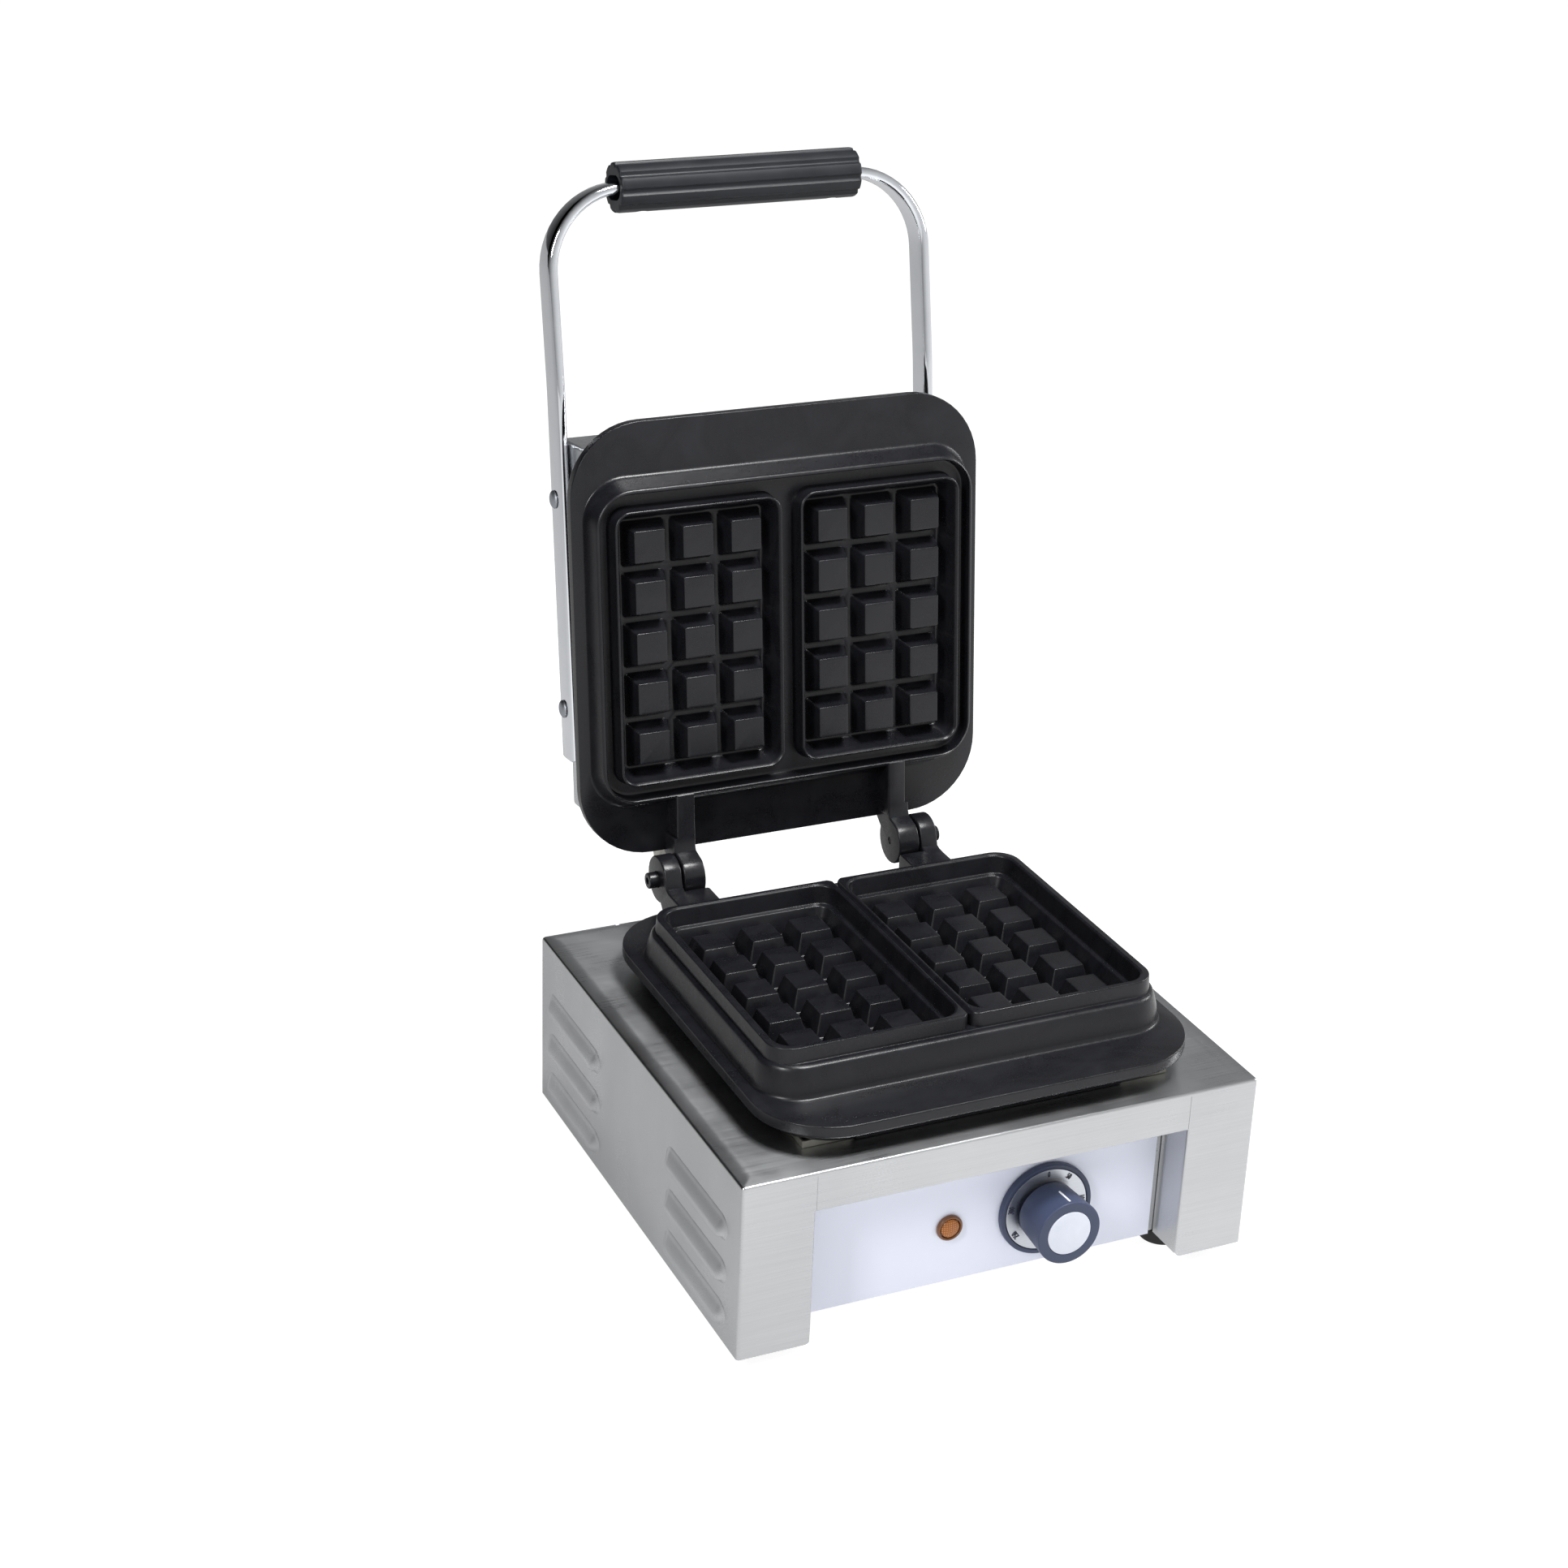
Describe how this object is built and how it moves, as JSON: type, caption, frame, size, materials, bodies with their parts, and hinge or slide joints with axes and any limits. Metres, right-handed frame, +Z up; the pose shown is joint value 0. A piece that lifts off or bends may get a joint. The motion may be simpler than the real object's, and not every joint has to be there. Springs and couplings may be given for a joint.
{
  "type": "electric waffle iron",
  "caption": "Counter-top electric waffle iron: folded steel housing, cast plates with square studs, hinged lid with U-shaped handle, front heat dial and signal lamp.",
  "frame": {"origin": "bottom centre of the bounding box with the lid open, on the surface the feet stand on", "axes": "+X to the right seen from the front, +Y from the front to the hinge at the back, +Z up"},
  "size_m": [0.3484, 0.456, 0.6007],
  "materials": {
    "stainless": "brushed stainless sheet, satin",
    "galvanised": "galvanised sheet, dull",
    "cast_iron": "black satin enamel over cast iron",
    "chrome": "bright chrome",
    "black_plastic": "satin moulded black",
    "rubber": "matt black rubber",
    "white_film": "printed white film, satin",
    "navy_plastic": "satin navy",
    "silver_print": "silver printed disc",
    "pale_inlay": "pale matt",
    "amber_lens": "translucent amber",
    "amber_bezel": "glossy amber brown",
    "bakelite": "brown moulding",
    "copper": "bare copper",
    "element_sheath": "heat-darkened steel",
    "mineral_wool": "fibrous",
    "pale_sleeve": "braided pale sleeve",
    "zinc": "bright zinc plate"
  },
  "bodies": {
    "base": {"housing": "stainless", "rear_panel": "galvanised", "base_plate": "galvanised", "control_panel": "stainless", "panel_overlay": "white_film", "dial_rim": "navy_plastic", "scale_ring": "silver_print", "thermostat": "bakelite", "thermostat_bulb": "copper", "pilot_bezel": "amber_bezel", "pilot_lens": "amber_lens", "pilot_body": "black_plastic", "terminal_block": "pale_inlay", "cable_gland": "black_plastic", "gland_nut": "black_plastic", "conduit_gland_rear": "zinc", "hinge_pin_left": "cast_iron", "hinge_pin_right": "cast_iron", "foot_front_left": "rubber", "foot_front_right": "rubber", "foot_rear_left": "rubber", "foot_rear_right": "rubber", "foot_screw_front_left": "zinc", "foot_screw_front_right": "zinc", "foot_screw_rear_left": "zinc", "foot_screw_rear_right": "zinc", "rear_screw_1": "zinc", "rear_screw_2": "zinc", "rear_screw_3": "zinc", "rear_screw_4": "zinc", "lower_plate": "cast_iron", "lower_element": "element_sheath", "lower_element_clamp": "galvanised", "heat_tray": "stainless", "plate_bolt_1": "zinc", "plate_bolt_2": "zinc", "plate_bolt_3": "zinc", "plate_bolt_4": "zinc", "lid_conduit": "pale_sleeve"},
    "lid": {"upper_plate": "cast_iron", "upper_element": "element_sheath", "upper_element_clamp": "galvanised", "lid_cover": "stainless", "lid_insulation": "mineral_wool", "cover_bolt_front": "zinc", "cover_bolt_rear": "zinc", "handle_bar": "chrome", "handle_grip": "black_plastic", "conduit_gland_lid": "zinc", "grip_screw_left": "zinc", "grip_screw_right": "zinc", "handle_rivet_left_front": "chrome", "handle_rivet_right_front": "chrome", "handle_rivet_left_rear": "chrome", "handle_rivet_right_rear": "chrome"},
    "dial_knob": {"knob": "navy_plastic", "knob_cap": "pale_inlay", "thermostat_shaft": "zinc"}
  },
  "joints": [
    {"name": "lid_hinge", "type": "hinge", "parent": "base", "child": "lid", "pos_m": [0, 0.08325, 0.1638], "axis": [1, 0, 0], "range_deg": [0, 96.28], "deforming": ["lid_conduit"]},
    {"name": "heat_knob", "type": "hinge", "parent": "base", "child": "dial_knob", "pos_m": [0.0423, -0.22175, 0.049], "axis": [0, 1, 0], "range_deg": [0, 280]}
  ]
}
